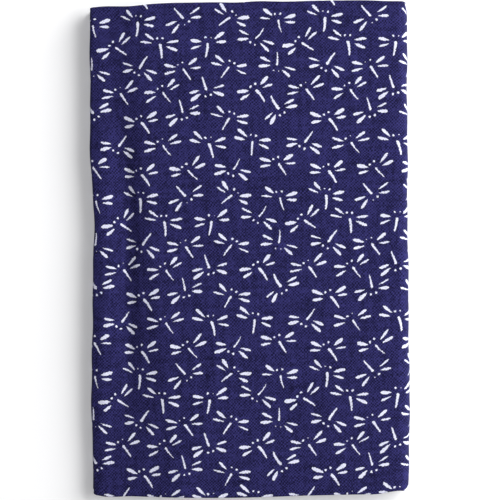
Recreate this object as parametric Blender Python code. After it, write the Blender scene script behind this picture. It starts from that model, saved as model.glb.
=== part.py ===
"""A printed cotton hand towel, folded into a flat rectangular stack.

The towel is one length of thin cloth. It is folded once along its length, and the doubled
strip is then halved three times across, which leaves eight double layers. The solid is one
ribbon of doubled cloth that runs back and forth through those layers. All four folds on the
right lie one inside the other, and so do the two low folds on the left. The two loose ends
stop short of the left edge, inside the stack, so the two top layers step down over them.

The stack lies on the plane z = 0. X runs across it, Y along it and Z up.
"""

import math
from collections import namedtuple

import bmesh
import bpy

# Sizes in millimetres
MM = 0.001
STACK_WIDTH = 112.7
DOUBLED_THICKNESS = 1.0
LAYER_GAP = 0.3
PITCH = DOUBLED_THICKNESS + LAYER_GAP
LEVELS = 8

# How far the two loose ends stop from the left edge, and how much their edges wander
LOOSE_END_BACK = 19.4
LOOSE_END_X = LOOSE_END_BACK - STACK_WIDTH / 2
LOOSE_END_WANDER = 0.35

# Width over which the stack rises from the loose ends to its full height
SHOULDER_START = -38.0
SHOULDER_WIDTH = 30.0

RIGHT = 1
LEFT = -1

# The layers in the order the cloth runs through them. Level 1 lies on the table. Far and near
# say how much shorter than the top layer each one is at its two ends.
Layer = namedtuple("Layer", "level far_short near_short")
LAYERS = (
    Layer(level=5, far_short=0.9, near_short=0.5),
    Layer(level=4, far_short=0.7, near_short=0.8),
    Layer(level=1, far_short=0.4, near_short=0.6),
    Layer(level=8, far_short=0.0, near_short=0.0),
    Layer(level=7, far_short=0.3, near_short=0.4),
    Layer(level=2, far_short=0.6, near_short=0.3),
    Layer(level=3, far_short=0.2, near_short=0.7),
    Layer(level=6, far_short=0.5, near_short=0.6),
)

# The fold after each layer but the last. Lowest and highest are the levels that the outermost
# fold of its set joins, and back says how far this one lies inside that one.
Fold = namedtuple("Fold", "side lowest highest back steps")
FOLDS = (
    Fold(side=RIGHT, lowest=1, highest=8, back=0.6, steps=6),
    Fold(side=LEFT, lowest=1, highest=4, back=0.0, steps=8),
    Fold(side=RIGHT, lowest=1, highest=8, back=0.0, steps=12),
    Fold(side=LEFT, lowest=7, highest=8, back=0.5, steps=6),
    Fold(side=RIGHT, lowest=1, highest=8, back=0.2, steps=10),
    Fold(side=LEFT, lowest=1, highest=4, back=0.3, steps=6),
    Fold(side=RIGHT, lowest=1, highest=8, back=0.4, steps=8),
)

# The top layer's two ends, read across the stack
End = namedtuple("End", "x far near")
ENDS = (
    End(x=-56.3, far=85.9, near=-86.4),
    End(x=-54.6, far=86.1, near=-87.1),
    End(x=-42.0, far=86.3, near=-87.4),
    End(x=-34.5, far=87.0, near=-87.5),
    End(x=-12.0, far=87.2, near=-87.8),
    End(x=5.0, far=87.5, near=-87.7),
    End(x=18.0, far=87.6, near=-87.3),
    End(x=36.0, far=87.6, near=-87.0),
    End(x=50.0, far=87.5, near=-86.4),
    End(x=54.5, far=87.3, near=-85.4),
    End(x=56.4, far=86.8, near=-84.2),
)

# Stations along the stack. Left and right say how far each side is drawn in, drop how far the
# two top layers step down over the loose ends, step how wide that slope is, and rise how much
# the stack swells right of it.
Station = namedtuple("Station", "y left right drop step rise")
STATIONS = (
    Station(y=-87.0, left=0.30, right=0.80, drop=1.9, step=11.0, rise=0.30),
    Station(y=-83.0, left=0.25, right=0.60, drop=2.0, step=10.0, rise=0.40),
    Station(y=-74.0, left=0.30, right=0.35, drop=2.2, step=9.0, rise=0.55),
    Station(y=-62.0, left=0.05, right=0.25, drop=2.3, step=8.5, rise=0.70),
    Station(y=-46.0, left=0.15, right=0.10, drop=2.4, step=8.0, rise=0.75),
    Station(y=-34.0, left=0.20, right=0.05, drop=2.4, step=7.5, rise=0.60),
    Station(y=-24.0, left=0.60, right=0.00, drop=2.5, step=7.0, rise=0.40),
    Station(y=-13.0, left=0.75, right=0.00, drop=2.5, step=7.0, rise=0.25),
    Station(y=0.0, left=1.00, right=0.00, drop=2.5, step=7.0, rise=0.20),
    Station(y=12.0, left=1.20, right=0.00, drop=2.5, step=7.0, rise=0.25),
    Station(y=19.0, left=0.90, right=0.00, drop=2.5, step=7.0, rise=0.35),
    Station(y=28.0, left=0.45, right=0.00, drop=2.4, step=7.5, rise=0.45),
    Station(y=38.0, left=0.00, right=0.00, drop=2.2, step=9.0, rise=0.55),
    Station(y=50.0, left=0.05, right=0.05, drop=1.8, step=12.0, rise=0.60),
    Station(y=64.0, left=0.15, right=0.20, drop=1.5, step=14.0, rise=0.55),
    Station(y=76.0, left=0.25, right=0.40, drop=1.4, step=15.0, rise=0.45),
    Station(y=84.0, left=0.30, right=0.60, drop=1.3, step=15.0, rise=0.35),
    Station(y=87.0, left=0.35, right=0.70, drop=1.3, step=15.0, rise=0.30),
)

# Where a layer has a row of points besides its two ends. The two top ones need more.
PLAIN_ROWS = (-30.0, 0.0, 30.0)
STEPPED_ROWS = (-50.5, -47.5, -45.0, -43.0, -41.0, -39.0, -37.0, -32.0, -20.0, 0.0, 25.0)
STEPPED_LEVELS = (7, 8)

# Navy, as linear colour
CLOTH_COLOUR = (0.025, 0.022, 0.100, 1.0)
CLOTH_ROUGHNESS = 0.9

Point = namedtuple("Point", "x z normal_x normal_z far_short near_short")


def ease(share):
    """Run smoothly from 0 to 1 as share does."""
    share = min(max(share, 0.0), 1.0)
    return share * share * (3.0 - 2.0 * share)


def read(table, key, at, column):
    """Read a column of a table smoothly between the rows on both sides of a place."""
    for low, high in zip(table, table[1:]):
        start, end = getattr(low, key), getattr(high, key)
        if at <= end:
            break
    share = ease((at - start) / (end - start))
    return getattr(low, column) * (1.0 - share) + getattr(high, column) * share


def height(level, x, station):
    """Height of a layer's middle over the table."""
    raised = (level - 1) / (LEVELS - 1)
    swell = station.rise * ease((x - SHOULDER_START) / SHOULDER_WIDTH)
    middle = DOUBLED_THICKNESS / 2 + (level - 1) * PITCH + swell * raised
    if level in STEPPED_LEVELS:
        middle -= station.drop * ease((LOOSE_END_X - x) / station.step)
    return middle


def fold_centre(fold, station):
    """Where across the stack a fold's round part starts."""
    drawn_in = station.right if fold.side == RIGHT else station.left
    edge = STACK_WIDTH / 2 - drawn_in
    top = height(fold.highest, fold.side * edge, station) + DOUBLED_THICKNESS / 2
    bottom = height(fold.lowest, fold.side * edge, station) - DOUBLED_THICKNESS / 2
    return fold.side * (edge - fold.back - (top - bottom) / 2)


def loose_end(level, station):
    """Where a loose end of the cloth lies across the stack."""
    wander = LOOSE_END_WANDER * math.sin(station.y / 17.0 + level * 2.0)
    return LOOSE_END_X + abs(wander)


def layer_points(layer, start, end, station):
    """Points along a layer, from where the fold before it ends to where the next one starts."""
    rows = STEPPED_ROWS if layer.level in STEPPED_LEVELS else PLAIN_ROWS
    heading = 1 if end > start else -1
    places = [start] + list(rows)[::heading] + [end]
    return [
        Point(x, height(layer.level, x, station), 0.0, heading, layer.far_short, layer.near_short)
        for x in places
    ]


def fold_points(fold, before, after, centre, station):
    """Points round a fold between two layers, without its two ends."""
    start = height(before.level, centre, station)
    end = height(after.level, centre, station)
    radius = abs(start - end) / 2
    down = math.copysign(1.0, start - end)
    turn = fold.side * down
    points = []
    for step in range(1, fold.steps):
        share = step / fold.steps
        across = fold.side * math.sin(math.pi * share)
        upright = down * math.cos(math.pi * share)
        points.append(
            Point(
                x=centre + radius * across,
                z=(start + end) / 2 + radius * upright,
                normal_x=turn * across,
                normal_z=turn * upright,
                far_short=before.far_short * (1 - share) + after.far_short * share,
                near_short=before.near_short * (1 - share) + after.near_short * share,
            )
        )
    return points


def ribbon_section(station):
    """The middle of the whole ribbon at one station, from one loose end to the other."""
    centres = [fold_centre(fold, station) for fold in FOLDS]
    starts = [loose_end(LAYERS[0].level, station)] + centres
    ends = centres + [loose_end(LAYERS[-1].level, station)]
    points = []
    for number, layer in enumerate(LAYERS):
        points += layer_points(layer, starts[number], ends[number], station)
        if number < len(FOLDS):
            after = LAYERS[number + 1]
            points += fold_points(FOLDS[number], layer, after, centres[number], station)
    return points


def place(point, side, share):
    """A point on one face of the ribbon, at a share of the way from its near to its far end."""
    near = read(ENDS, "x", point.x, "near") + point.near_short
    far = read(ENDS, "x", point.x, "far") - point.far_short
    lift = side * DOUBLED_THICKNESS / 2
    x = point.x + lift * point.normal_x
    z = point.z + lift * point.normal_z
    return x, near + (far - near) * share, z


def centred(rows):
    """Move the points so that the middle of their box is at x = 0 and y = 0."""
    flat = [spot for row in rows for pair in row for spot in pair]
    x_middle = (min(spot[0] for spot in flat) + max(spot[0] for spot in flat)) / 2
    y_middle = (min(spot[1] for spot in flat) + max(spot[1] for spot in flat)) / 2
    return [
        [[(x - x_middle, y - y_middle, z) for x, y, z in pair] for pair in row] for row in rows
    ]


def ribbon_rows():
    """For each station, the pair of face points at every point of the section."""
    first, last = STATIONS[0].y, STATIONS[-1].y
    rows = []
    for station in STATIONS:
        share = (station.y - first) / (last - first)
        section = ribbon_section(station)
        rows.append([[place(point, side, share) for side in (1, -1)] for point in section])
    return centred(rows)


def build_ribbon(name, material):
    """Join the rows into one closed solid."""
    bm = bmesh.new()
    grid = [
        [[bm.verts.new([MM * part for part in spot]) for spot in pair] for pair in row]
        for row in ribbon_rows()
    ]
    for row, following in zip(grid, grid[1:]):
        for one, two, three, four in zip(row, row[1:], following[1:], following):
            bm.faces.new((one[0], two[0], three[0], four[0]))
            bm.faces.new((four[1], three[1], two[1], one[1]))
        for pair, beyond in ((row[0], following[0]), (row[-1], following[-1])):
            bm.faces.new((pair[0], beyond[0], beyond[1], pair[1]))
    for row in (grid[0], grid[-1]):
        for one, two in zip(row, row[1:]):
            bm.faces.new((one[0], one[1], two[1], two[0]))
    bmesh.ops.recalc_face_normals(bm, faces=bm.faces)
    mesh = bpy.data.meshes.new(name)
    bm.to_mesh(mesh)
    bm.free()
    mesh.materials.append(material)
    mesh.shade_smooth()
    mesh.set_sharp_from_angle(angle=math.radians(50))
    ribbon = bpy.data.objects.new(name, mesh)
    bpy.context.collection.objects.link(ribbon)
    return ribbon


def cloth_material():
    """Plain matt cotton."""
    material = bpy.data.materials.new("navy_cotton")
    material.use_nodes = True
    shader = material.node_tree.nodes["Principled BSDF"]
    shader.inputs["Base Color"].default_value = CLOTH_COLOUR
    shader.inputs["Roughness"].default_value = CLOTH_ROUGHNESS
    shader.inputs["Metallic"].default_value = 0.0
    return material


for item in list(bpy.data.objects):
    bpy.data.objects.remove(item, do_unlink=True)

build_ribbon("towel_cloth", cloth_material())
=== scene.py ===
"""A printed cotton hand towel folded into a flat stack, and the plain stage it lies on.

The towel is one sheet of thin plain-weave cotton. It is folded in half along its length, and
the doubled strip runs back and forth through eight layers. Everything is in metres, in the
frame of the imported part: X across the stack, Y along it, Z up, resting on z = 0.
"""

import math
from collections import namedtuple

import bpy
import numpy as np
from bpy.props import FloatProperty, FloatVectorProperty, PointerProperty
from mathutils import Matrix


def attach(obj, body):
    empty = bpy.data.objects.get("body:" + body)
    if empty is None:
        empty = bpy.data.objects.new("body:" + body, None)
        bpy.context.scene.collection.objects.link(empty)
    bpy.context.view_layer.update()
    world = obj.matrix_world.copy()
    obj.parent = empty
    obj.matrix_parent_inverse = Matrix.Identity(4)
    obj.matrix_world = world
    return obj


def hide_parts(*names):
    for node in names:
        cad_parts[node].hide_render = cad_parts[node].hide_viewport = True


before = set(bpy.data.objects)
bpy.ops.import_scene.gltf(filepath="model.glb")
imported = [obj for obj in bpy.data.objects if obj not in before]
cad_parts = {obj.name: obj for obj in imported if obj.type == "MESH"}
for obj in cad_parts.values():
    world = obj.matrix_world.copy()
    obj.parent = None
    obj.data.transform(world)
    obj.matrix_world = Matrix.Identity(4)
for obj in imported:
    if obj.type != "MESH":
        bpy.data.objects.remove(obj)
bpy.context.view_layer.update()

bl_info = {
    "name": "Folded Hand Towel",
    "version": (1, 0, 0),
    "blender": (4, 5, 0),
    "location": "3D View > Sidebar > Towel",
    "description": "Folds a printed cotton hand towel into a stack and lights it on a plain stage",
    "category": "Object",
}

NODE = "towel_cloth"
MM = 0.001

# The folded stack, in millimetres. Level 1 lies on the table, and the pitch is from one doubled
# layer to the next.
STACK_WIDTH = 113.8
STACK_LENGTH = 175.0
LAYER_PITCH = 1.3
LEVELS = 8
LOWEST_MIDDLE = 0.5

# The levels up to the middle of the stack, and those that lie over the loose ends
LAST_LOW_LEVEL = 4
FIRST_TOP_LEVEL = 7

# The swell of the stack starts here and grows to the right over this width
SHOULDER_START = -38.0
SHOULDER_WIDTH = 30.0

# The low levels sink towards the left, each by this much more than the one below it
SAG = 0.12
SAG_START = -38.0
SAG_WIDTH = 14.0

# Slight unevenness: of each layer's height, of the sides, once long and once short, of the
# loose ends, and of how far the layers stop short of the top one
LAYER_WAVER = 0.06
SIDE_LONG_WAVE = 0.12
SIDE_SHORT_WAVE = 0.1
LOOSE_END_WANDER = 0.5
END_WAVER = 0.7

# At the far end the inner ply stops short of the outer one, and both are a little ragged
INNER_SHORT = 0.8
INNER_WAVER = 0.4
RAGGED = 0.14

# How strongly the rows of points crowd towards the left side
CROWDING = 1.35

# How full the wide folds are: 1 is round, less is squarer. Folds of less than this radius are
# nearer to round.
FULLNESS = 0.88
FULL_RADIUS = 3.0

# How deep a fold of this radius is pinched, and at which share of its radius over its middle
PINCH = 0.5
PINCH_RADIUS = 4.5
PINCH_HEIGHT = 0.1
PINCH_REACH = 0.28

RIGHT = 1
LEFT = -1

# The layers in the order the cloth runs through them. Level 1 lies on the table. Far and near
# say how much shorter than the top layer each one is at its two ends, rows how many rows of
# points it has across the stack, and shown how much of the colour map it is given.
Layer = namedtuple("Layer", "level far_short near_short rows shown")
LAYERS = (
    Layer(level=5, far_short=0.9, near_short=0.5, rows=12, shown=0.1),
    Layer(level=4, far_short=0.7, near_short=0.8, rows=14, shown=0.1),
    Layer(level=1, far_short=0.4, near_short=0.6, rows=26, shown=1.0),
    Layer(level=8, far_short=0.0, near_short=0.0, rows=70, shown=1.0),
    Layer(level=7, far_short=0.3, near_short=0.4, rows=34, shown=0.15),
    Layer(level=2, far_short=0.6, near_short=0.3, rows=12, shown=0.1),
    Layer(level=3, far_short=0.2, near_short=0.7, rows=12, shown=0.1),
    Layer(level=6, far_short=0.5, near_short=0.6, rows=12, shown=0.1),
)

# The fold after each layer but the last. Lowest and highest are the levels that the outermost
# fold of its set joins, and back says how far this one lies inside that one.
Fold = namedtuple("Fold", "side lowest highest back steps shown")
FOLDS = (
    Fold(side=RIGHT, lowest=1, highest=8, back=0.6, steps=10, shown=0.15),
    Fold(side=LEFT, lowest=1, highest=4, back=0.0, steps=16, shown=1.2),
    Fold(side=RIGHT, lowest=1, highest=8, back=0.0, steps=28, shown=1.4),
    Fold(side=LEFT, lowest=7, highest=8, back=0.5, steps=14, shown=1.4),
    Fold(side=RIGHT, lowest=1, highest=8, back=0.2, steps=16, shown=0.15),
    Fold(side=LEFT, lowest=1, highest=4, back=0.3, steps=10, shown=0.15),
    Fold(side=RIGHT, lowest=1, highest=8, back=0.4, steps=12, shown=0.15),
)

# The top layer's two ends, read across the stack
End = namedtuple("End", "x far near")
ENDS = (
    End(x=-56.9, far=85.7, near=-85.6),
    End(x=-55.8, far=86.0, near=-86.9),
    End(x=-54.0, far=86.1, near=-87.4),
    End(x=-42.0, far=86.3, near=-87.6),
    End(x=-34.5, far=87.0, near=-87.8),
    End(x=-12.0, far=87.2, near=-88.1),
    End(x=5.0, far=87.5, near=-87.9),
    End(x=18.0, far=87.6, near=-87.5),
    End(x=36.0, far=87.6, near=-87.2),
    End(x=46.5, far=87.6, near=-86.9),
    End(x=49.5, far=87.5, near=-86.3),
    End(x=52.5, far=87.4, near=-86.0),
    End(x=55.2, far=87.2, near=-86.1),
    End(x=57.0, far=86.6, near=-85.3),
)

# Stations along the stack. Left and right say how far each side is drawn in. Loose is where
# the loose ends lie across the stack; left of them the two top layers step down by drop over
# the width step, with a valley at the foot and a droop at the left edge. Rise says how much
# the stack swells right of the step.
Station = namedtuple("Station", "y left right loose step drop valley droop rise")
STATIONS = (
    #       y, left, right, loose, step, drop, valley, droop, rise
    Station(-87.0, 0.30, 0.45, -20.0, 33.5, 2.70, 0.10, 1.15, 0.20),
    Station(-83.0, 0.25, 0.30, -20.5, 33.0, 2.75, 0.10, 1.20, 0.25),
    Station(-74.0, 0.30, 0.15, -22.5, 28.5, 2.62, 0.25, 1.30, 0.35),
    Station(-62.0, 0.05, 0.10, -25.0, 21.6, 2.28, 0.50, 1.40, 0.45),
    Station(-46.0, 0.15, 0.00, -28.0, 15.6, 1.85, 0.88, 1.45, 0.50),
    Station(-34.0, 0.20, 0.00, -30.5, 12.9, 1.6, 1.13, 1.40, 0.45),
    Station(-24.0, 0.60, 0.00, -31.0, 12.4, 1.6, 1.13, 1.40, 0.35),
    Station(-13.0, 0.75, 0.00, -32.0, 11.4, 1.6, 1.13, 1.40, 0.25),
    Station(0.0, 1.00, 0.00, -33.5, 10.0, 1.6, 1.13, 1.40, 0.20),
    Station(12.0, 1.20, 0.00, -34.0, 9.0, 1.6, 1.13, 1.30, 0.25),
    Station(19.0, 0.90, 0.00, -34.5, 9.0, 1.6, 1.07, 1.15, 0.35),
    Station(28.0, 0.45, 0.00, -35.0, 9.0, 1.6, 0.90, 0.95, 0.45),
    Station(38.0, 0.00, 0.00, -35.5, 9.5, 1.55, 0.56, 0.7, 0.50),
    Station(50.0, 0.05, 0.00, -35.5, 11.5, 1.4, 0.34, 0.65, 0.50),
    Station(64.0, 0.15, 0.05, -35.0, 14.0, 1.3, 0.11, 0.60, 0.45),
    Station(76.0, 0.25, 0.15, -34.0, 15.0, 1.2, 0.11, 0.60, 0.35),
    Station(84.0, 0.30, 0.30, -34.0, 15.0, 1.2, 0.06, 0.60, 0.30),
    Station(87.0, 0.35, 0.40, -34.0, 15.0, 1.2, 0.06, 0.60, 0.25),
)

# How far the valley reaches to each side of the foot, and where the left edge starts to droop
VALLEY_LEFT = 4.2
VALLEY_RIGHT = 2.7
DROOP_START = -51.4
DROOP_WIDTH = 5.2

# Soft hollows and swellings of the stack, full height in the top layer
Dent = namedtuple("Dent", "x y reach_x reach_y height")
DENTS = (
    Dent(x=21.0, y=20.0, reach_x=9.0, reach_y=15.0, height=0.35),
    Dent(x=-12.0, y=52.0, reach_x=20.0, reach_y=10.0, height=0.25),
    Dent(x=34.0, y=-38.0, reach_x=12.0, reach_y=16.0, height=0.25),
    Dent(x=4.0, y=-60.0, reach_x=16.0, reach_y=9.0, height=-0.30),
    Dent(x=-8.0, y=-16.0, reach_x=12.0, reach_y=18.0, height=0.20),
    Dent(x=40.0, y=58.0, reach_x=10.0, reach_y=14.0, height=-0.22),
    Dent(x=12.0, y=76.0, reach_x=14.0, reach_y=7.0, height=-0.20),
    Dent(x=28.0, y=-78.0, reach_x=18.0, reach_y=6.0, height=0.22),
    Dent(x=-50.0, y=30.0, reach_x=4.0, reach_y=9.0, height=0.25),
    Dent(x=-49.0, y=-6.0, reach_x=4.0, reach_y=12.0, height=0.20),
    Dent(x=-50.0, y=60.0, reach_x=4.0, reach_y=10.0, height=0.20),
)

# The cloth across its width: rows of points on the outer ply, round the doubling fold and on
# the inner ply
OUTER_ROWS = 84
DOUBLING_STEPS = 8
INNER_ROWS = 34

# Strips of the colour map, from its bottom to its top. First and last are the rows across the
# cloth that a strip covers, and even says that the whole length is shown at one scale. The
# outside of the outer ply takes most of it.
Strip = namedtuple("Strip", "outside first last low high even")
LAST_OUTER = OUTER_ROWS - 1
FIRST_INNER = OUTER_ROWS + DOUBLING_STEPS - 1
LAST_INNER = FIRST_INNER + INNER_ROWS - 1
STRIPS = (
    Strip(outside=False, first=0, last=LAST_INNER, low=0.065, high=0.165, even=True),
    Strip(outside=True, first=FIRST_INNER, last=LAST_INNER, low=0.18, high=0.26, even=True),
    Strip(outside=True, first=LAST_OUTER, last=FIRST_INNER, low=0.275, high=0.30, even=True),
    Strip(outside=True, first=0, last=LAST_OUTER, low=0.315, high=0.99, even=False),
)

# Below them lie the strips of the cloth's two long edges and, side by side, those of its two
# ends. The map's margin is left free all round.
EDGE_STRIPS = ((0.01, 0.016), (0.024, 0.03))
END_STRIP = (0.04, 0.05)
END_STARTS = (0.01, 0.51)
END_LENGTH = 0.48
MAP_MARGIN = 0.01
MAP_LENGTH = 0.98

# The repeat of the print, in millimetres, and its dragonflies. Across and along place each
# one, turn is its tilt and bend how far its body swings from the line of its wings, both in
# degrees. The four screens keep neighbours apart.
REPEAT = (66.0, 63.0)
Dragonfly = namedtuple("Dragonfly", "screen across along turn bend")
DRAGONFLIES = (
    Dragonfly(0, 4.5, 4.0, 20, -24),
    Dragonfly(1, 20.5, 3.5, 168, 20),
    Dragonfly(0, 36.5, 6.0, 6, -26),
    Dragonfly(1, 54.0, 3.0, 5, -28),
    Dragonfly(2, 12.5, 13.5, -12, -26.5),
    Dragonfly(3, 28.0, 14.0, -20, -14),
    Dragonfly(2, 46.0, 12.5, 165, 21),
    Dragonfly(3, 62.3, 13.0, 15, -21),
    Dragonfly(1, 3.5, 23.5, 200, 6),
    Dragonfly(0, 20.0, 22.5, -15, 15),
    Dragonfly(1, 37.5, 24.5, 215, 5),
    Dragonfly(0, 54.5, 21.5, 10, -25),
    Dragonfly(2, 12.0, 31.5, 188, -11),
    Dragonfly(3, 29.0, 32.0, 25, -10),
    Dragonfly(2, 46.7, 32.2, 15, -20),
    Dragonfly(3, 62.2, 31.8, 22, -15),
    Dragonfly(0, 3.2, 40.0, 10, -24.5),
    Dragonfly(1, 20.0, 40.5, -18, 18),
    Dragonfly(0, 36.5, 40.0, 160, -18),
    Dragonfly(1, 53.8, 40.0, 160, 16),
    Dragonfly(2, 12.5, 49.0, 12, 22),
    Dragonfly(3, 29.0, 49.5, 157, 14),
    Dragonfly(2, 45.0, 48.5, 33, -23),
    Dragonfly(3, 61.5, 49.0, -16, -22),
    Dragonfly(1, 4.0, 57.0, 208, -12.5),
    Dragonfly(0, 20.5, 58.0, -29, 24),
    Dragonfly(1, 37.0, 57.0, -12, -27),
    Dragonfly(0, 53.5, 57.6, -20, -16),
)

# One dragonfly of the print, in millimetres and radians from the middle of its chest. Where a
# value has two numbers, the second says how much it differs from one dragonfly to another.
FRONT_ROOT = (2.15, 0.5, 0.0)
FRONT_ANGLE = (0.47, 0.26)
FRONT_LENGTH = (4.15, 0.8)
FRONT_WIDTH = (1.31, 0.5)
HIND_ROOT = (2.5, -0.7, 0.0)
HIND_ANGLE = (0.0, 0.3)
HIND_LENGTH = (4.0, -0.8)
HIND_WIDTH = (1.03, 0.5)
BODY_START = -0.35
BODY_LENGTH = (5.1, 0.8)
BODY_HALF_WIDTH = (0.49, 0.22)
BODY_TAPER = 0.24
BODY_BOW = 2.4
BODY_ENDS = 14.0
HEAD_SWING = 0.65
EYE_ASIDE = 0.95
EYE_AHEAD = 1.6
EYE_RADIUS = 0.39
EYE_FAINT = 0.5

# A wing's brush stroke: how slowly it swells from its root and how bluntly it ends, how far its
# edge is drawn back, and how crisp the edges of the print are
STROKE_SWELL = 0.75
STROKE_END = 0.42
EDGE_BACK = 0.06
EDGE_CRISPNESS = 9.0

Points = namedtuple("Points", "x z normal_x normal_z far_short near_short")


# ---------------------------------------------------------------------------------------------
# Sizes and colours a user would change


class TowelCloth(bpy.types.PropertyGroup):
    """Sizes of the cloth and colours of its print."""

    ply: FloatProperty(
        name="Ply thickness", description="Thickness of the single cloth",
        default=0.00034, min=0.0002, max=0.0005, subtype="DISTANCE", unit="LENGTH",
    )
    ply_offset: FloatProperty(
        name="Ply offset", description="Distance of each ply from the middle of its doubled layer",
        default=0.0003, min=0.0002, max=0.0004, subtype="DISTANCE", unit="LENGTH",
    )
    yarn_pitch: FloatProperty(
        name="Yarn pitch", description="Distance from one yarn of the weave to the next",
        default=0.00057, min=0.0002, max=0.002, subtype="DISTANCE", unit="LENGTH",
    )
    # Painted shade: the navy between the yarns is darker because shade falls there; the same colour
    # also gives the darker uneven yarns.
    navy_shade_and_dark_yarns: FloatVectorProperty(
        name="Deep navy", description="Colour of the dyed ground between its yarns",
        default=(0.0014, 0.0010, 0.023), size=3, min=0.0, max=1.0, subtype="COLOR",
    )
    # Painted highlight: the navy on top of the yarns is lighter where light falls on them; the same
    # colour also gives the lighter uneven yarns.
    navy_highlight_and_light_yarns: FloatVectorProperty(
        name="Light navy", description="Colour of the dyed ground on top of its yarns",
        default=(0.0345, 0.0315, 0.159), size=3, min=0.0, max=1.0, subtype="COLOR",
    )
    white: FloatVectorProperty(
        name="White", description="Colour of the undyed dragonflies",
        default=(0.81, 0.82, 1.0), size=3, min=0.0, max=1.0, subtype="COLOR",
    )


class TowelStage(bpy.types.PropertyGroup):
    """The floor, the lights and the camera over them."""

    floor: FloatVectorProperty(
        name="Floor", description="Colour of the plain floor",
        default=(0.86, 0.86, 0.87), size=3, min=0.0, max=1.0, subtype="COLOR",
    )
    glow: FloatProperty(
        name="Floor glow", description="Strength of the light that the floor itself gives off",
        default=0.3, min=0.0,
    )
    key_power: FloatProperty(
        name="Key light", description="Power of the large lamp on the right",
        default=22.8, min=0.0, subtype="POWER", unit="POWER",
    )
    fill_power: FloatProperty(
        name="Fill light", description="Power of the lamp overhead",
        default=0.9, min=0.0, subtype="POWER", unit="POWER",
    )
    room: FloatProperty(
        name="Room light", description="Strength of the light from all around",
        default=0.19, min=0.0,
    )


# ---------------------------------------------------------------------------------------------
# Shape of the folded cloth


def ease(share):
    """Run smoothly from 0 to 1 as share does."""
    share = np.clip(share, 0.0, 1.0)
    return share * share * (3.0 - 2.0 * share)


def read(table, key, at, column):
    """Read a column of a table along a smooth curve through its rows."""
    keys = np.array([getattr(row, key) for row in table])
    values = np.array([getattr(row, column) for row in table])
    slopes = np.gradient(values, keys)
    at = np.clip(at, keys[0], keys[-1])
    low = np.clip(np.searchsorted(keys, at, side="right") - 1, 0, len(keys) - 2)
    span = keys[low + 1] - keys[low]
    share = (at - keys[low]) / span
    rest = 1.0 - share
    return (
        values[low] * (1.0 + 2.0 * share) * rest**2
        + values[low + 1] * (3.0 - 2.0 * share) * share**2
        + slopes[low] * span * share * rest**2
        - slopes[low + 1] * span * share**2 * rest
    )


def station_at(y):
    """All the columns of the stations, read at every distance y along the stack."""
    columns = [read(STATIONS, "y", y, name) for name in Station._fields[1:]]
    return Station(y, *columns)


def relief(x, y):
    """Height of the soft hollows and swellings at a spot on the stack."""
    total = 0.0
    for dent in DENTS:
        away = ((x - dent.x) / dent.reach_x) ** 2 + ((y - dent.y) / dent.reach_y) ** 2
        total = total + dent.height * np.exp(-away)
    return total


def height(level, x, station):
    """Height of a layer's middle over the table."""
    raised = (level - 1) / (LEVELS - 1)
    swell = station.rise * ease((x - SHOULDER_START) / SHOULDER_WIDTH)
    swell = swell + relief(x, station.y)
    waver = LAYER_WAVER * np.sin(x / 11.0 + 1.7 * level) * np.sin(station.y / 19.0 + 0.9 * level)
    middle = LOWEST_MIDDLE + (level - 1) * LAYER_PITCH + (swell + waver) * raised
    if level <= LAST_LOW_LEVEL:
        middle = middle - SAG * (level - 1) * ease((SAG_START - x) / SAG_WIDTH)
    if level >= FIRST_TOP_LEVEL:
        foot = station.loose - station.step
        middle = middle - station.drop * ease((station.loose - x) / station.step)
        reach = np.where(x < foot, VALLEY_LEFT, VALLEY_RIGHT)
        middle = middle - station.valley * np.exp(-(((x - foot) / reach) ** 2))
        droop = np.clip((DROOP_START - x) / DROOP_WIDTH, 0.0, 1.0)
        middle = middle - station.droop * droop**2
    return middle


def fold_centre(fold, station):
    """Where across the stack a fold's round part starts."""
    drawn_in = station.right if fold.side == RIGHT else station.left
    drawn_in = drawn_in + SIDE_LONG_WAVE * np.sin(station.y / 7.0)
    drawn_in = drawn_in + SIDE_SHORT_WAVE * np.sin(station.y / 2.9 + fold.side)
    edge = STACK_WIDTH / 2 - drawn_in
    top = height(fold.highest, fold.side * edge, station) + LOWEST_MIDDLE
    bottom = height(fold.lowest, fold.side * edge, station) - LOWEST_MIDDLE
    return fold.side * (edge - fold.back - (top - bottom) / 2)


def loose_end(level, station):
    """Where a loose end of the cloth lies across the stack."""
    wander = LOOSE_END_WANDER * np.sin(station.y / 17.0 + level * 2.0)
    return station.loose + np.abs(wander)


def layer_points(layer, start, end, station):
    """Rows of points along a layer, closer together towards the left side."""
    share = np.linspace(0.0, 1.0, layer.rows)[:, None]
    if np.mean(end) > np.mean(start):
        share = share**CROWDING
    else:
        share = 1.0 - (1.0 - share) ** CROWDING
    x = start + (end - start) * share
    heading = np.sign(end - start)
    flat = np.zeros_like(x)
    return Points(
        x, height(layer.level, x, station), flat, flat + heading,
        flat + layer.far_short, flat + layer.near_short,
    )


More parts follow.
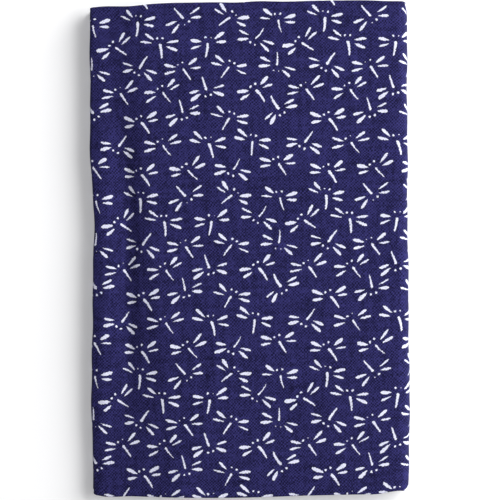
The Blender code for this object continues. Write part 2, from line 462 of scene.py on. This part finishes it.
def fold_points(fold, before, after, centre, station):
    """Rows of points round a fold between two layers, without its two ends. A wide fold is
    pinched a little at half its height, where the halves of the stack meet."""
    start = height(before.level, centre, station)
    end = height(after.level, centre, station)
    radius = np.abs(start - end) / 2
    down = np.sign(start - end)
    share = (np.arange(1, fold.steps) / fold.steps)[:, None]
    across = fold.side * np.sin(np.pi * share) + 0.0 * centre
    upright = down * np.cos(np.pi * share)
    fuller = (FULLNESS - 1.0) * np.minimum(radius / FULL_RADIUS, 1.0)
    facing_x = fold.side * down * across * np.abs(across) ** -fuller
    facing_z = fold.side * down * upright * np.abs(upright) ** -fuller
    length = np.hypot(facing_x, facing_z)
    unevenly = 0.6 + 0.4 * np.sin(station.y / 23.0 + 1.0)
    nearby = np.exp(-(((upright - PINCH_HEIGHT) / PINCH_REACH) ** 2))
    pinch = fold.side * PINCH * unevenly * (radius / PINCH_RADIUS) ** 2 * nearby
    return Points(
        centre + radius * across * np.abs(across) ** fuller - pinch,
        (start + end) / 2 + radius * upright * np.abs(upright) ** fuller,
        facing_x / length, facing_z / length,
        before.far_short * (1 - share) + after.far_short * share + 0.0 * centre,
        before.near_short * (1 - share) + after.near_short * share + 0.0 * centre,
    )


def ribbon_middle(y):
    """The middle of the doubled ribbon at every y, from one loose end to the other."""
    station = station_at(y)
    centres = [fold_centre(fold, station) for fold in FOLDS]
    starts = [loose_end(LAYERS[0].level, station)] + centres
    ends = centres + [loose_end(LAYERS[-1].level, station)]
    runs = []
    for number, layer in enumerate(LAYERS):
        runs.append(layer_points(layer, starts[number], ends[number], station))
        if number < len(FOLDS):
            after = LAYERS[number + 1]
            runs.append(fold_points(FOLDS[number], layer, after, centres[number], station))
    return Points(*[np.concatenate(column) for column in zip(*runs)])


def across_cloth(offset):
    """For each row across the cloth: its share of the way from near to far, how far past the
    near end it lies, its offset from the ribbon's middle and its distance from the first
    selvedge, with lengths in millimetres."""
    outer = np.linspace(1.0, 0.0, OUTER_ROWS)
    angle = np.linspace(0.0, np.pi, DOUBLING_STEPS + 1)[1:-1]
    inner = np.linspace(0.0, 1.0, INNER_ROWS)
    share = np.concatenate([outer, 0.0 * angle, inner])
    past = np.concatenate([0.0 * outer, -offset * np.sin(angle), 0.0 * inner])
    side = np.concatenate([0.0 * outer - offset, -offset * np.cos(angle), 0.0 * inner + offset])
    run = np.concatenate([
        (1.0 - outer) * STACK_LENGTH,
        STACK_LENGTH + offset * angle,
        STACK_LENGTH + np.pi * offset + inner * STACK_LENGTH,
    ])
    return share, past, side, run


def cloth_middle(offset):
    """Places of the cloth's middle, one row of points for each step along it."""
    share, past, side, run = across_cloth(offset)
    first, last = STATIONS[0].y, STATIONS[-1].y
    points = ribbon_middle(first + (last - first) * share)
    uneven = 1.0 + END_WAVER * np.sin(points.x / 7.5 + 1.1 * points.z)
    near = read(ENDS, "x", points.x, "near") + points.near_short * uneven + offset
    far = read(ENDS, "x", points.x, "far") - points.far_short * uneven
    inner = np.clip(side / offset, 0.0, 1.0)
    far = far - inner * (INNER_SHORT + INNER_WAVER * np.sin(points.x / 12.0 + points.z / 3.0))
    far = far - RAGGED * (1.0 - np.sin(points.x / 4.1 + 1.3 * np.sin(points.x / 9.0)))
    y = near + (far - near) * share + past
    place = np.stack(
        [points.x + side * points.normal_x, y, points.z + side * points.normal_z], axis=2
    )
    steps = np.linalg.norm(np.diff(place[:, OUTER_ROWS // 2], axis=0), axis=1)
    along = np.concatenate([[0.0], np.cumsum(steps)])
    return place, along, run


def outward(place):
    """Unit normals of a grid of places, towards the cloth's right side."""
    along = np.gradient(place, axis=0)
    across = np.gradient(place, axis=1)
    normal = np.cross(along, across)
    return normal / np.linalg.norm(normal, axis=2, keepdims=True)


def grid_faces(rows, columns, first, flip):
    """Four-sided faces over a grid of points."""
    corner = first + np.arange(rows - 1)[:, None] * columns + np.arange(columns - 1)
    faces = np.stack([corner, corner + columns, corner + columns + 1, corner + 1], axis=2)
    faces = faces.reshape(-1, 4)
    return faces[:, ::-1] if flip else faces


def rim_faces(rows, columns):
    """Faces that join the two sides of the cloth along its four edges."""
    total = rows * columns
    near = np.arange(columns)
    side = np.arange(rows) * columns
    loops = (
        (near, False), (near + (rows - 1) * columns, True),
        (side, True), (side + columns - 1, False),
    )
    faces = []
    for edge, flip in loops:
        strip = np.stack([edge[:-1], edge[1:], edge[1:] + total, edge[:-1] + total], axis=1)
        faces.append(strip[:, ::-1] if flip else strip)
    return np.concatenate(faces)


def map_along(along):
    """Each row's place along the colour map, evenly and with more room for what shows."""
    shown = []
    for number, layer in enumerate(LAYERS):
        shown += [layer.shown] * layer.rows
        if number < len(FOLDS):
            shown += [FOLDS[number].shown] * (FOLDS[number].steps - 1)
    shown = np.array(shown)
    steps = np.diff(along) * (shown[:-1] + shown[1:]) / 2
    uneven = np.concatenate([[0.0], np.cumsum(steps)])
    return (
        MAP_MARGIN + MAP_LENGTH * along / along[-1],
        MAP_MARGIN + MAP_LENGTH * uneven / uneven[-1],
    )


def colour_map(faces, along, run):
    """Places of the corners of all faces on the colour map, with no two faces on one spot."""
    rows, columns = len(along), len(run)
    total = rows * columns
    even, uneven = map_along(along)
    row, column = np.divmod(faces % total, columns)
    outside = faces < total
    places = np.zeros((*faces.shape, 2))
    grids = 2 * (rows - 1) * (columns - 1)
    least, most = column.min(axis=1), column.max(axis=1)
    for strip in STRIPS:
        mine = (least >= strip.first) & (most <= strip.last) & (outside[:, 0] == strip.outside)
        mine[grids:] = False
        share = (run[column[mine]] - run[strip.first]) / (run[strip.last] - run[strip.first])
        places[mine, :, 0] = (even if strip.even else uneven)[row[mine]]
        places[mine, :, 1] = strip.low + share * (strip.high - strip.low)
    rim = np.arange(len(faces)) >= grids
    first_end, last_end = rim & (row.max(axis=1) == 0), rim & (row.min(axis=1) == rows - 1)
    for mine, start in zip((first_end, last_end), END_STARTS):
        places[mine, :, 0] = start + END_LENGTH * run[column[mine]] / run[-1]
        places[mine, :, 1] = np.where(outside[mine], *END_STRIP)
    for mine, strip in zip((rim & (most == 0), rim & (least == columns - 1)), EDGE_STRIPS):
        places[mine, :, 0] = even[row[mine]]
        places[mine, :, 1] = np.where(outside[mine], *strip)
    return places.reshape(-1, 2)


def make_cloth(cloth):
    """Build the whole folded sheet as one closed mesh, with its flat lay-out as one UV map and
    a colour map with no overlaps as the other."""
    place, along, run = cloth_middle(cloth.ply_offset / MM)
    half = outward(place) * (cloth.ply / MM / 2)
    rows, columns = place.shape[:2]
    spots = np.concatenate([(place + half).reshape(-1, 3), (place - half).reshape(-1, 3)])
    middle = (spots.min(axis=0) + spots.max(axis=0)) / 2
    spots -= (middle[0], middle[1], spots[:, 2].min())
    faces = np.concatenate([
        grid_faces(rows, columns, 0, False),
        grid_faces(rows, columns, rows * columns, True),
        rim_faces(rows, columns),
    ])
    mesh = bpy.data.meshes.new("folded_towel")
    mesh.from_pydata((spots * MM).tolist(), [], faces.tolist())
    flat = np.stack(np.meshgrid(along, run, indexing="ij"), axis=2).reshape(-1, 2)
    flat = np.concatenate([flat, flat]) * MM
    layer = mesh.uv_layers.new(name="flat_cloth")
    layer.uv.foreach_set("vector", flat[faces.reshape(-1)].ravel())
    layer = mesh.uv_layers.new(name="OFBake")
    layer.uv.foreach_set("vector", colour_map(faces, along, run).ravel())
    mesh.shade_smooth()
    mesh.set_sharp_from_angle(angle=math.radians(60))
    mesh.validate()
    towel = bpy.data.objects.new("folded_towel", mesh)
    bpy.context.scene.collection.objects.link(towel)
    return towel, (float(run[-1] * MM), float(along[-1] * MM))


# ---------------------------------------------------------------------------------------------
# Shader building


class Sums:
    """Adds nodes to a node tree, each one wired to the sockets or numbers it works on."""

    def __init__(self, tree):
        self.tree = tree

    def node(self, kind, inputs=(), **settings):
        """Add a node, set its properties, and fill its inputs by name or number."""
        made = self.tree.nodes.new(kind)
        for name, value in settings.items():
            setattr(made, name, value)
        for name, value in dict(inputs).items():
            if isinstance(value, bpy.types.NodeSocket):
                self.tree.links.new(value, made.inputs[name])
            elif value is not None:
                made.inputs[name].default_value = value
        return made

    def math(self, operation, *values, clamp=False):
        """One sum on numbers."""
        made = self.node("ShaderNodeMath", enumerate(values), operation=operation)
        made.use_clamp = clamp
        return made.outputs[0]

    def vector(self, operation, *values):
        """One sum on vectors."""
        made = self.node("ShaderNodeVectorMath", enumerate(values), operation=operation)
        return made.outputs["Value" if operation == "LENGTH" else "Vector"]

    def turned(self, vector, angle):
        """A vector turned about Z by an angle."""
        made = self.node(
            "ShaderNodeVectorRotate", {"Vector": vector, "Angle": angle}, rotation_type="Z_AXIS"
        )
        return made.outputs[0]

    def parts(self, vector):
        """A vector's three numbers."""
        return self.node("ShaderNodeSeparateXYZ", {0: vector}).outputs

    def joined(self, x=0.0, y=0.0, z=0.0):
        """A vector of three numbers."""
        return self.node("ShaderNodeCombineXYZ", {0: x, 1: y, 2: z}).outputs[0]

    def chance(self, seed, scale, start):
        """A number from -0.5 to 0.5 that differs for every seed."""
        part = self.math("FRACT", self.math("MULTIPLY_ADD", seed, scale, start))
        return self.math("SUBTRACT", part, 0.5)

    def spread(self, chance, middle, width):
        """A chance from -0.5 to 0.5 stretched to a width round a middle."""
        return self.math("MULTIPLY_ADD", chance, width, middle)

    def noise(self, vector, scale, detail, roughness=0.5):
        """Soft noise over a vector."""
        inputs = {"Vector": vector, "Scale": scale, "Detail": detail, "Roughness": roughness}
        return self.node("ShaderNodeTexNoise", inputs).outputs

    def blend(self, kind, factor, first, second):
        """Mix two vectors or colours."""
        made = self.node("ShaderNodeMix", data_type=kind)
        numbers = {"VECTOR": (0, 4, 5), "RGBA": (0, 6, 7)}[kind]
        for number, value in zip(numbers, (factor, first, second)):
            if isinstance(value, bpy.types.NodeSocket):
                self.tree.links.new(value, made.inputs[number])
            else:
                made.inputs[number].default_value = value
        return made.outputs[{"VECTOR": 1, "RGBA": 2}[kind]]


def start_group(name, inputs, outputs):
    """A new node group with named sockets, with its sums, its input and its output node."""
    tree = bpy.data.node_groups.new(name, "ShaderNodeTree")
    for way, sockets in (("INPUT", inputs), ("OUTPUT", outputs)):
        for label, kind in sockets.items():
            tree.interface.new_socket(name=label, in_out=way, socket_type="NodeSocket" + kind)
    given = tree.nodes.new("NodeGroupInput")
    result = tree.nodes.new("NodeGroupOutput")
    return tree, Sums(tree), given.outputs, result.inputs


def place_group(sums, tree, inputs):
    """Put a node group into another tree."""
    made = sums.node("ShaderNodeGroup")
    made.node_tree = tree
    for name, value in inputs.items():
        if isinstance(value, bpy.types.NodeSocket):
            sums.tree.links.new(value, made.inputs[name])
        else:
            made.inputs[name].default_value = value
    return made.outputs


def nearest_group():
    """Keeps whichever dragonfly of the print lies nearer, as a place in its own directions."""
    tree, sums, given, result = start_group(
        "nearer_dragonfly",
        {
            "Place": "Vector", "Centre": "Vector", "Turn": "Float",
            "Kept": "Vector", "Least": "Float",
        },
        {"Kept": "Vector", "Least": "Float"},
    )
    away = sums.vector("SUBTRACT", given["Place"], given["Centre"])
    half = (REPEAT[0] / 2, REPEAT[1] / 2, 4.0)
    wrapped = sums.vector("WRAP", away, half, tuple(-size for size in half))
    local = sums.turned(wrapped, given["Turn"])
    upright = sums.vector("MULTIPLY_ADD", local, (1.0, 1.0, 0.0), (0.0, 1.0, 0.0))
    distance = sums.vector("LENGTH", upright)
    nearer = sums.math("LESS_THAN", distance, given["Least"])
    tree.links.new(sums.blend("VECTOR", nearer, given["Kept"], local), result["Kept"])
    tree.links.new(sums.math("MINIMUM", distance, given["Least"]), result["Least"])
    return tree


def stroke_group():
    """How far inside a tapered brush stroke a place lies: thin at its start, round at its end."""
    tree, sums, given, result = start_group(
        "brush_stroke",
        {
            "Place": "Vector", "Start": "Vector", "Angle": "Float",
            "Length": "Float", "Width": "Float",
        },
        {"Inside": "Float"},
    )
    from_start = sums.vector("SUBTRACT", given["Place"], given["Start"])
    local = sums.turned(from_start, sums.math("MULTIPLY", given["Angle"], -1.0))
    parts = sums.parts(local)
    share = sums.math("DIVIDE", parts[0], given["Length"], clamp=True)
    left = sums.math("SUBTRACT", 1.0, share)
    swell = sums.math(
        "MULTIPLY", sums.math("POWER", share, STROKE_SWELL), sums.math("POWER", left, STROKE_END)
    )
    edge = sums.math("MULTIPLY", swell, given["Width"])
    beside = sums.math("ADD", sums.math("ABSOLUTE", parts[1]), EDGE_BACK)
    tree.links.new(sums.math("SUBTRACT", edge, beside), result["Inside"])
    return tree


def dragonfly_group(stroke):
    """One dragonfly: two pairs of wings, a body that swings to one side and two eyes."""
    tree, sums, given, result = start_group("dragonfly", {"Place": "Vector"}, {"Mask": "Float"})
    parts = sums.parts(given["Place"])
    bend = parts[2]
    side = sums.math("SIGN", parts[0])
    folded = sums.joined(sums.math("ABSOLUTE", parts[0]), parts[1])
    seed = sums.math("MULTIPLY_ADD", side, 0.057, bend)
    length_chance = sums.chance(seed, 31.3, 0.1)
    width_chance = sums.chance(seed, 53.9, 0.4)
    front_chance = sums.chance(seed, 71.7, 0.7)
    hind_chance = sums.chance(seed, 43.1, 0.2)
    front = place_group(sums, stroke, {
        "Place": folded, "Start": FRONT_ROOT,
        "Angle": sums.spread(front_chance, *FRONT_ANGLE),
        "Length": sums.spread(length_chance, *FRONT_LENGTH),
        "Width": sums.spread(width_chance, *FRONT_WIDTH),
    })["Inside"]
    hind = place_group(sums, stroke, {
        "Place": folded, "Start": HIND_ROOT,
        "Angle": sums.spread(hind_chance, *HIND_ANGLE),
        "Length": sums.spread(width_chance, *HIND_LENGTH),
        "Width": sums.spread(length_chance, *HIND_WIDTH),
    })["Inside"]
    bodied = sums.parts(sums.turned(given["Place"], sums.math("MULTIPLY", bend, -1.0)))
    sway = sums.chance(bend, 37.9, 0.3)
    down = sums.math("SUBTRACT", BODY_START, bodied[1])
    run = sums.math("DIVIDE", down, sums.spread(sway, *BODY_LENGTH), clamp=True)
    arch = sums.math("MULTIPLY", run, sums.math("SUBTRACT", 1.0, run))
    bow = sums.math("MULTIPLY", arch, sums.math("MULTIPLY", sway, BODY_BOW))
    half_width = sums.math("MULTIPLY_ADD", run, -BODY_TAPER, sums.spread(sway, *BODY_HALF_WIDTH))
    ends = sums.math("POWER", sums.math("MULTIPLY", arch, BODY_ENDS, clamp=True), 0.5)
    from_middle = sums.math("ABSOLUTE", sums.math("SUBTRACT", bodied[0], bow))
    beside = sums.math("ADD", from_middle, EDGE_BACK)
    body = sums.math("SUBTRACT", sums.math("MULTIPLY", half_width, ends), beside)
    looking = sums.turned(given["Place"], sums.math("MULTIPLY", bend, -HEAD_SWING))
    eye_parts = sums.parts(looking)
    eye_seed = sums.math("MULTIPLY_ADD", sums.math("SIGN", eye_parts[0]), 0.031, bend)
    faint = sums.math("MULTIPLY", sums.chance(eye_seed, 61.3, 0.6), EYE_FAINT, clamp=True)
    from_eye = sums.vector("LENGTH", sums.joined(
        sums.math("SUBTRACT", sums.math("ABSOLUTE", eye_parts[0]), EYE_ASIDE),
        sums.math("SUBTRACT", eye_parts[1], EYE_AHEAD),
    ))
    eye = sums.math("SUBTRACT", sums.math("SUBTRACT", EYE_RADIUS, faint), from_eye)
    most = sums.math("MAXIMUM", sums.math("MAXIMUM", front, hind), sums.math("MAXIMUM", body, eye))
    tree.links.new(sums.math("MULTIPLY_ADD", most, EDGE_CRISPNESS, 0.5, clamp=True), result["Mask"])
    return tree


def print_group():
    """The whole repeat of small dragonflies, white where they are."""
    tree, sums, given, result = start_group(
        "dragonfly_print", {"Place": "Vector"}, {"Mask": "Float"}
    )
    nearest = nearest_group()
    dragonfly = dragonfly_group(stroke_group())
    masks = []
    for screen in range(4):
        kept, least = (0.0, 0.0, 0.0), 99.0
        for insect in (item for item in DRAGONFLIES if item.screen == screen):
            found = place_group(sums, nearest, {
                "Place": given["Place"],
                "Centre": (insect.across, insect.along, math.radians(insect.bend)),
                "Turn": -math.radians(insect.turn),
                "Kept": kept, "Least": least,
            })
            kept, least = found["Kept"], found["Least"]
        masks.append(place_group(sums, dragonfly, {"Place": kept})["Mask"])
    most = masks[0]
    for mask in masks[1:]:
        most = sums.math("MAXIMUM", most, mask)
    tree.links.new(most, result["Mask"])
    return tree


def weave_group():
    """Plain weave: its height, painted shade between its yarns and painted highlight on their tops,
    the random light and dark of its crossings, and its uneven yarns.
    """
    tree, sums, given, result = start_group(
        "plain_weave", {"Place": "Vector", "Pitch": "Float"},
        {"Height": "Float", "Tone": "Float", "Streaks": "Float"},
    )
    wander = sums.noise(given["Place"], 0.3, 2.0)["Color"]
    centred = sums.vector("SUBTRACT", wander, (0.5, 0.5, 0.5))
    spot = sums.vector("MULTIPLY_ADD", centred, (1.5, 1.5, 0.0), given["Place"])
    cells = sums.vector("SCALE", spot)
    tree.links.new(sums.math("DIVIDE", 1.0, given["Pitch"]), cells.node.inputs["Scale"])
    parts = sums.parts(cells)
    warp = sums.math("SINE", sums.math("MULTIPLY", parts[0], math.pi))
    weft = sums.math("SINE", sums.math("MULTIPLY", parts[1], math.pi))
    over = sums.math("MULTIPLY", warp, weft)
    crossing = sums.node("ShaderNodeTexWhiteNoise", {"Vector": sums.vector("FLOOR", cells)})
    luck = sums.math("SUBTRACT", crossing.outputs["Value"], 0.5)
    luck = sums.math("MULTIPLY", luck, sums.math("ABSOLUTE", over))
    tree.links.new(sums.math("MULTIPLY_ADD", over, 0.5, 0.5), result["Height"])
    patches = sums.noise(given["Place"], 0.45, 3.0)[0]
    clearer = sums.math("MULTIPLY_ADD", patches, 3.6, -0.9)
    # Painted shade: one diagonal of the weave is lit more than the other, as light falls across the
    # yarns.
    diagonal = sums.math("MULTIPLY", sums.math("SUBTRACT", parts[0], parts[1]), math.pi)
    slant = sums.math("COSINE", diagonal)
    slanted_shade = sums.math("MULTIPLY_ADD", slant, 0.06, over)
    # The tone is painted shade and highlight from the weave's height and its lit diagonal, with
    # random light and dark crossings.
    shown = sums.math("MULTIPLY", sums.math("MULTIPLY_ADD", luck, 2.3, slanted_shade), clearer)
    tree.links.new(shown, result["Tone"])
    streaks = []
    for stretch in ((0.05, 0.55, 1.0), (0.55, 0.05, 1.0)):
        long = sums.vector("MULTIPLY", given["Place"], stretch)
        streak = sums.noise(long, 1.0, 4.0, roughness=0.78)[0]
        streaks.append(sums.math("SUBTRACT", streak, 0.5))
    tree.links.new(sums.math("ADD", *streaks), result["Streaks"])
    return tree


def cotton_material(cloth):
    """Matt navy cotton with small white dragonflies."""
    material = bpy.data.materials.new("printed_cotton")
    material.use_nodes = True
    sums = Sums(material.node_tree)
    shader = material.node_tree.nodes["Principled BSDF"]
    flat = sums.node("ShaderNodeUVMap", uv_map="flat_cloth").outputs[0]
    place = sums.vector("MULTIPLY", flat, (-1 / MM, -1 / MM, 0.0))
    rough = sums.noise(place, 2.0, 1.0)["Color"]
    shake = sums.vector("SUBTRACT", rough, (0.5, 0.5, 0.5))
    shaken = sums.vector("MULTIPLY_ADD", shake, (0.7, 0.7, 0.0), place)
    mask = place_group(sums, print_group(), {"Place": shaken})["Mask"]
    weave = place_group(sums, weave_group(), {"Place": place, "Pitch": cloth.yarn_pitch / MM})
    cloud = sums.math("SUBTRACT", sums.noise(place, 0.12, 3.0)[0], 0.5)
    # The navy runs from painted shade between the yarns to painted highlight on their tops, with
    # uneven yarns, streaks and clouds.
    uneven = sums.math("MULTIPLY_ADD", weave["Streaks"], 1.4, 0.5)
    uneven = sums.math("MULTIPLY_ADD", weave["Tone"], 0.86, uneven)
    uneven = sums.math("MULTIPLY_ADD", cloud, 0.38, uneven, clamp=True)
    dyed = sums.blend("RGBA", uneven, (*cloth.navy_shade_and_dark_yarns, 1.0), (*cloth.navy_highlight_and_light_yarns, 1.0))
    # Painted shade: the white print is darker between its yarns too, with random light and dark
    # crossings.
    white_shade_share = sums.math("MULTIPLY_ADD", weave["Tone"], 0.12, 0.95, clamp=True)
    plain = sums.blend("RGBA", white_shade_share, (0.0, 0.0, 0.0, 1.0), (*cloth.white, 1.0))
    colour = sums.blend("RGBA", mask, dyed, plain)
    yarns = sums.node("ShaderNodeBump", {
        "Height": weave["Height"], "Distance": 0.00006, "Strength": 0.6,
    }).outputs[0]
    puckers = sums.node("ShaderNodeBump", {
        "Height": sums.noise(place, 0.22, 2.0)[0], "Distance": 0.0009, "Strength": 0.5,
        "Normal": yarns,
    }).outputs[0]
    matt = sums.math("MULTIPLY_ADD", weave["Streaks"], 0.12, 0.88, clamp=True)
    links = material.node_tree.links
    links.new(colour, shader.inputs["Base Color"])
    links.new(matt, shader.inputs["Roughness"])
    links.new(puckers, shader.inputs["Normal"])
    shader.inputs["Sheen Weight"].default_value = 0.05
    shader.inputs["Sheen Roughness"].default_value = 0.5
    shader.inputs["Specular IOR Level"].default_value = 0.15
    return material


# ---------------------------------------------------------------------------------------------
# Operators


class TOWEL_OT_fold(bpy.types.Operator):
    """Fold the printed towel"""

    bl_idname = "towel.fold"
    bl_label = "Fold towel"

    def execute(self, context):
        cloth = context.scene.towel_cloth
        towel, flat = make_cloth(cloth)
        towel.data.materials.append(cotton_material(cloth))
        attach(towel, "root")
        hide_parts(NODE)
        return {"FINISHED"}


class TOWEL_OT_stage(bpy.types.Operator):
    """Lay the floor, hang the lights and set the camera over the towel"""

    bl_idname = "towel.stage"
    bl_label = "Set stage"

    def execute(self, context):
        stage = context.scene.towel_stage
        make_floor(stage)
        make_lights(stage)
        make_camera()
        return {"FINISHED"}


class TOWEL_PT_panel(bpy.types.Panel):
    """The towel's sizes, colours and steps"""

    bl_idname = "TOWEL_PT_panel"
    bl_label = "Folded hand towel"
    bl_space_type = "VIEW_3D"
    bl_region_type = "UI"
    bl_category = "Towel"

    def draw(self, context):
        layout = self.layout
        for settings in (context.scene.towel_cloth, context.scene.towel_stage):
            for name in settings.__annotations__:
                layout.prop(settings, name)
        layout.operator(TOWEL_OT_fold.bl_idname)
        layout.operator(TOWEL_OT_stage.bl_idname)


# ---------------------------------------------------------------------------------------------
# Stage

# Camera straight over the towel, in millimetres and degrees. The frame is this wide at the
# height of the towel's top.
CAMERA_OVER = (0.28, -0.21)
CAMERA_HEIGHT = 710.6
CAMERA_ROLL = -0.35
FRAME_WIDTH = 176.8
TOP_HEIGHT = 10.6

# The floor and the two square lamps, in metres
FLOOR_WIDTH = 24.0
KEY_PLACE = (0.84, 0.36, 0.62)
KEY_SIZE = 1.1
FILL_PLACE = (-0.15, 0.1, 1.3)
FILL_SIZE = 1.0


def make_floor(stage):
    """A wide plain pale floor that glows a little, as a lit table does."""
    mesh = bpy.data.meshes.new("floor")
    half = FLOOR_WIDTH / 2
    corners = [(-half, -half, 0), (half, -half, 0), (half, half, 0), (-half, half, 0)]
    mesh.from_pydata(corners, [], [(0, 1, 2, 3)])
    floor = bpy.data.objects.new("floor", mesh)
    bpy.context.scene.collection.objects.link(floor)
    material = bpy.data.materials.new("pale_floor")
    material.use_nodes = True
    shader = material.node_tree.nodes["Principled BSDF"]
    shader.inputs["Base Color"].default_value = (*stage.floor, 1.0)
    shader.inputs["Roughness"].default_value = 0.9
    shader.inputs["Specular IOR Level"].default_value = 0.1
    shader.inputs["Emission Color"].default_value = (*stage.floor, 1.0)
    shader.inputs["Emission Strength"].default_value = stage.glow
    mesh.materials.append(material)


def make_lamp(name, place, size, power):
    """A square soft lamp that shines at the middle of the towel."""
    lamp = bpy.data.lights.new(name, "AREA")
    lamp.energy = power
    lamp.size = size
    made = bpy.data.objects.new(name, lamp)
    made.location = place
    direction = -made.location
    made.rotation_mode = "QUATERNION"
    made.rotation_quaternion = direction.to_track_quat("-Z", "Y")
    bpy.context.scene.collection.objects.link(made)


def make_lights(stage):
    """A large lamp on the right, a weaker one overhead and light from all around."""
    make_lamp("key_lamp", KEY_PLACE, KEY_SIZE, stage.key_power)
    make_lamp("overhead_lamp", FILL_PLACE, FILL_SIZE, stage.fill_power)
    world = bpy.data.worlds.new("room")
    world.use_nodes = True
    world.node_tree.nodes["Background"].inputs["Color"].default_value = (1.0, 1.0, 1.0, 1.0)
    world.node_tree.nodes["Background"].inputs["Strength"].default_value = stage.room
    bpy.context.scene.world = world
    bpy.context.scene.view_settings.view_transform = "Standard"


def make_camera():
    """A camera straight above, with the towel as large in the frame as in the photograph."""
    camera = bpy.data.cameras.new("camera")
    reach = CAMERA_HEIGHT - TOP_HEIGHT
    camera.sensor_width = 36.0
    camera.lens = camera.sensor_width * reach / FRAME_WIDTH
    camera.clip_start = 0.05
    camera.clip_end = 40.0
    made = bpy.data.objects.new("camera", camera)
    made.location = (CAMERA_OVER[0] * MM, CAMERA_OVER[1] * MM, CAMERA_HEIGHT * MM)
    made.rotation_euler = (0.0, 0.0, math.radians(CAMERA_ROLL))
    bpy.context.scene.collection.objects.link(made)
    bpy.context.scene.camera = made


# ---------------------------------------------------------------------------------------------
# Registration and the run

CLASSES = (TowelCloth, TowelStage, TOWEL_OT_fold, TOWEL_OT_stage, TOWEL_PT_panel)


def register():
    """Register every class and the settings on the scene."""
    for item in CLASSES:
        bpy.utils.register_class(item)
    bpy.types.Scene.towel_cloth = PointerProperty(type=TowelCloth)
    bpy.types.Scene.towel_stage = PointerProperty(type=TowelStage)


def unregister():
    """Take the settings and the classes away again."""
    del bpy.types.Scene.towel_stage
    del bpy.types.Scene.towel_cloth
    for item in reversed(CLASSES):
        bpy.utils.unregister_class(item)


def main():
    """Build the towel and its stage."""
    register()
    bpy.ops.towel.stage()
    bpy.ops.towel.fold()


if __name__ == "__main__":
    main()
